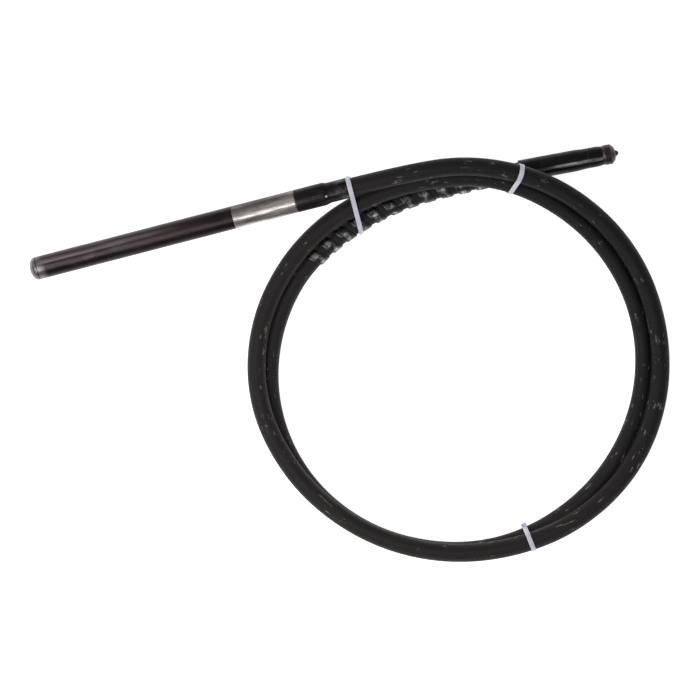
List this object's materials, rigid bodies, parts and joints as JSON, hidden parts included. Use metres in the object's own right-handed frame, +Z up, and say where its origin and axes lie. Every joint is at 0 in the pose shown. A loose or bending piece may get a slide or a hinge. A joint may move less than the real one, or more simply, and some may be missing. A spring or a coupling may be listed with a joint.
{
  "type": "concrete vibrator poker",
  "caption": "Internal concrete vibrator: long steel vibrating head on a coiled rubber flexible shaft held with cable ties, with a strip bend guard and a conical drive coupling.",
  "frame": {"origin": "middle of the plan outline of the rigid pieces (the head and the drive coupling), on the floor the coil lies on", "axes": "+X from the head's tip towards the drive coupling, +Y towards the side where the head and the coupling leave the coil, +Z up"},
  "size_m": [1.0545, 0.6883, 0.0933],
  "materials": {
    "blued_steel": "blued, worn satin",
    "bright_steel": "fine turned, lengthwise grain",
    "black_steel": "black oxide, satin",
    "bearing_steel": "ground",
    "weight_steel": "machined",
    "cage_brass": "stamped",
    "bush_bronze": "sintered",
    "hose_rubber": "matte, lightly scuffed",
    "seal_rubber": "satin",
    "spring_steel": "oiled black strip",
    "liner_steel": "flat wire",
    "core_steel": "wound wire, greased",
    "nylon": "natural, slightly translucent"
  },
  "bodies": {
    "hose_assembly": {"tip_plug": "blued_steel", "tip_o_ring": "seal_rubber", "head_tube": "blued_steel", "front_outer_ring": "bearing_steel", "bearing_housing": "bright_steel", "housing_o_ring": "seal_rubber", "rear_outer_ring_a": "bearing_steel", "bearing_spacer": "bearing_steel", "rear_outer_ring_b": "bearing_steel", "snap_ring": "spring_steel", "oil_seal": "seal_rubber", "connector_o_ring": "seal_rubber", "head_connector": "black_steel", "grub_screw": "bright_steel", "head_ferrule": "black_steel", "drive_ferrule": "black_steel", "drive_connector": "black_steel", "drive_bush": "bush_bronze", "thrust_washer": "bush_bronze", "drive_o_ring": "seal_rubber", "drive_nut": "black_steel", "hose": "hose_rubber", "hose_liner": "liner_steel", "flexible_core": "core_steel", "bend_guard": "spring_steel", "cable_tie_a": "nylon", "cable_tie_b": "nylon", "cable_tie_c": "nylon"},
    "rotor": {"eccentric_rotor": "weight_steel", "front_inner_ring": "bearing_steel", "rear_inner_ring_a": "bearing_steel", "rear_inner_ring_b": "bearing_steel", "core_joint": "weight_steel"},
    "front_cage": {"front_ball_cage": "cage_brass"},
    "rear_cage_a": {"rear_ball_cage_a": "cage_brass"},
    "rear_cage_b": {"rear_ball_cage_b": "cage_brass"},
    "drive_end": {"drive_dog": "black_steel"}
  },
  "joints": [
    {"name": "rotor_spin", "type": "hinge", "parent": "hose_assembly", "child": "rotor", "pos_m": [-0.29105, -0.04586, 0.03658], "axis": [0.9643, 0.2476, 0.0938], "continuous": true},
    {"name": "front_cage_spin", "type": "hinge", "parent": "hose_assembly", "child": "front_cage", "pos_m": [-0.44486, -0.08535, 0.02161], "axis": [0.9643, 0.2476, 0.0938], "continuous": true},
    {"name": "rear_cage_a_spin", "type": "hinge", "parent": "hose_assembly", "child": "rear_cage_a", "pos_m": [-0.13859, -0.00672, 0.05141], "axis": [0.9643, 0.2476, 0.0938], "continuous": true},
    {"name": "rear_cage_b_spin", "type": "hinge", "parent": "hose_assembly", "child": "rear_cage_b", "pos_m": [-0.12798, -0.004, 0.05244], "axis": [0.9643, 0.2476, 0.0938], "continuous": true},
    {"name": "drive_spin", "type": "hinge", "parent": "hose_assembly", "child": "drive_end", "pos_m": [0.44489, 0.09079, 0.0182], "axis": [0.9831, 0.1831, 0], "continuous": true}
  ],
  "couplings": [
    {"joint": "front_cage_spin", "follows": "rotor_spin", "ratio": 0.3875},
    {"joint": "rear_cage_a_spin", "follows": "rotor_spin", "ratio": 0.3875},
    {"joint": "rear_cage_b_spin", "follows": "rotor_spin", "ratio": 0.3875},
    {"joint": "drive_spin", "follows": "rotor_spin", "ratio": 1}
  ]
}
